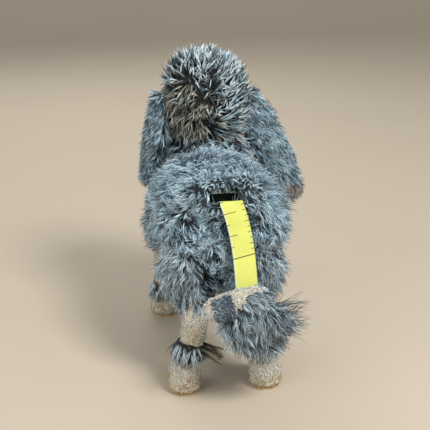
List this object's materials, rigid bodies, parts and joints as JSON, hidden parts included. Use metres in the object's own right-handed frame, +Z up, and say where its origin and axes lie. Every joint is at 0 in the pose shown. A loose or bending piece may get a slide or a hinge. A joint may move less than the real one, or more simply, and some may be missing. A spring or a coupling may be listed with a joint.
{
  "type": "stuffed poodle tape measure",
  "caption": "Stuffed mohair poodle with a lion clip, jointed head, ears and legs, and a tail that draws a spring tape measure out of its rump.",
  "frame": {"origin": "middle of the footprint of the standing toy, on the surface that its soles rest on", "axes": "+Z up, +Y the way the dog faces, +X to the dog's right"},
  "size_m": [0.1138, 0.1738, 0.1895],
  "materials": {
    "grey_mohair": "matte",
    "pale_mohair": "matte",
    "cream_plush": "matte",
    "worn_gold_plush": "matte",
    "felt_lining": "matte",
    "wood_wool": "matte",
    "fibre_board": "matte",
    "steel": "satin",
    "spring_steel": "satin",
    "rivet_brass": "satin",
    "mouth_metal": "satin",
    "spool_plastic": "satin",
    "yellow_tape": "satin",
    "eye_glass": "gloss",
    "nose_thread": "satin"
  },
  "bodies": {
    "body": {"body_cover": "grey_mohair", "body_stuffing": "wood_wool", "body_joint_discs": "fibre_board", "body_joint_washers": "steel", "tape_mouth": "mouth_metal", "case_left": "steel", "case_right": "steel", "case_rivets": "rivet_brass", "spool_arbor": "steel"},
    "spool": {"spool": "spool_plastic", "wound_tape": "yellow_tape", "mainspring": "spring_steel"},
    "tail": {"tail_cover": "cream_plush", "tail_stuffing": "wood_wool", "tail_patch": "grey_mohair", "tail_pom": "grey_mohair", "free_tape": "yellow_tape"},
    "head": {"head_cover": "cream_plush", "head_stuffing": "wood_wool", "topknot": "pale_mohair", "muzzle": "cream_plush", "nose": "nose_thread", "mouth_stitches": "nose_thread", "eye_left": "eye_glass", "eye_right": "eye_glass", "neck_joint_disc": "fibre_board", "neck_joint_pin": "steel"},
    "ear_left": {"ear_left_fur": "grey_mohair", "ear_left_lining": "felt_lining"},
    "ear_right": {"ear_right_fur": "grey_mohair", "ear_right_lining": "felt_lining"},
    "hind_left_leg": {"hind_left_cover": "cream_plush", "hind_left_stuffing": "wood_wool", "hind_left_cuff": "grey_mohair", "hind_left_sole": "worn_gold_plush", "hind_left_joint_disc": "fibre_board", "hind_left_joint_pin": "steel"},
    "hind_right_leg": {"hind_right_cover": "cream_plush", "hind_right_stuffing": "wood_wool", "hind_right_cuff": "grey_mohair", "hind_right_sole": "worn_gold_plush", "hind_right_joint_disc": "fibre_board", "hind_right_joint_pin": "steel"},
    "front_left_leg": {"front_left_cover": "cream_plush", "front_left_stuffing": "wood_wool", "front_left_cuff": "grey_mohair", "front_left_sole": "worn_gold_plush", "front_left_joint_disc": "fibre_board", "front_left_joint_pin": "steel"},
    "front_right_leg": {"front_right_cover": "cream_plush", "front_right_stuffing": "wood_wool", "front_right_cuff": "grey_mohair", "front_right_sole": "worn_gold_plush", "front_right_joint_disc": "fibre_board", "front_right_joint_pin": "steel"}
  },
  "joints": [
    {"name": "head_turn", "type": "hinge", "parent": "body", "child": "head", "pos_m": [-0.00927, 0.03606, 0.135], "axis": [0, 0, 1], "range_deg": [-15, 15]},
    {"name": "ear_left_lift", "type": "hinge", "parent": "head", "child": "ear_left", "pos_m": [-0.03917, 0.03706, 0.1624], "axis": [0.1392, 0.9903, 0], "range_deg": [0, 60]},
    {"name": "ear_right_lift", "type": "hinge", "parent": "head", "child": "ear_right", "pos_m": [0.02213, 0.04206, 0.1619], "axis": [-0.766, -0.6428, 0], "range_deg": [0, 50]},
    {"name": "hind_left_swing", "type": "hinge", "parent": "body", "child": "hind_left_leg", "pos_m": [-0.02327, -0.03194, 0.074], "axis": [1, 0, 0], "range_deg": [-30, 60]},
    {"name": "hind_right_swing", "type": "hinge", "parent": "body", "child": "hind_right_leg", "pos_m": [0.00473, -0.03194, 0.074], "axis": [1, 0, 0], "range_deg": [-4, 60]},
    {"name": "front_left_swing", "type": "hinge", "parent": "body", "child": "front_left_leg", "pos_m": [-0.02327, 0.04806, 0.077], "axis": [1, 0, 0], "range_deg": [-45, 60]},
    {"name": "front_right_swing", "type": "hinge", "parent": "body", "child": "front_right_leg", "pos_m": [0.00473, 0.04806, 0.077], "axis": [1, 0, 0], "range_deg": [-45, 60]},
    {"name": "tape_pull", "type": "slide", "parent": "body", "child": "tail", "axis": [0.2079, -0.2778, -0.9379], "range_m": [-0.038, 0.018], "deforming": ["free_tape"]},
    {"name": "spool_spin", "type": "hinge", "parent": "body", "child": "spool", "pos_m": [-0.00927, -0.03284, 0.0969], "axis": [1, 0, 0], "range_deg": [-152.2, 72.4]}
  ],
  "couplings": [
    {"joint": "spool_spin", "follows": "tape_pull", "rad_per_m": 69.686}
  ]
}
